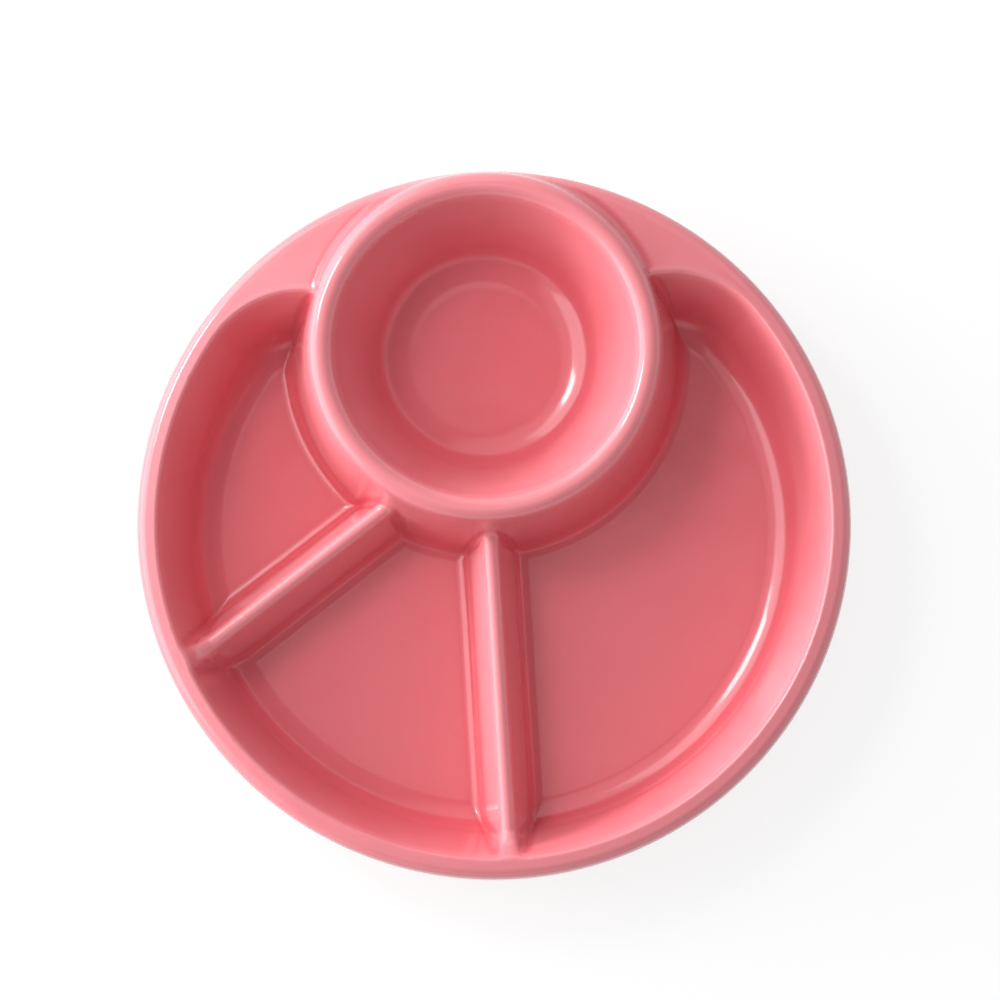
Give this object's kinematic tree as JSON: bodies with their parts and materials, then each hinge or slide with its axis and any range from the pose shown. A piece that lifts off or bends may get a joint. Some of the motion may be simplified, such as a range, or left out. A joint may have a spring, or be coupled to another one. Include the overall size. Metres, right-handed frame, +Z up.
{
  "type": "divided compartment plate",
  "caption": "Round divided dinner plate in glazed ceramic, with upright rim, straight dividers, sloping shoulders and a built-in round bowl at the back, on a foot ring.",
  "frame": {"origin": "centre of the foot ring, on the plane that the plate stands on", "axes": "+Z up, +Y from the middle of the plate towards the built-in bowl, +X to the right of someone who has the bowl at the far side"},
  "size_m": [0.254, 0.254, 0.042],
  "materials": {
    "glaze": "glossy coral-pink glaze over a fired ceramic body",
    "bare_clay": "unglazed, ground smooth"
  },
  "bodies": {
    "root": {"dish_body": "glaze", "bowl": "glaze", "left_shoulder": "glaze", "right_shoulder": "glaze", "left_divider": "glaze", "centre_divider": "glaze", "foot_ring": "bare_clay"}
  },
  "joints": []
}
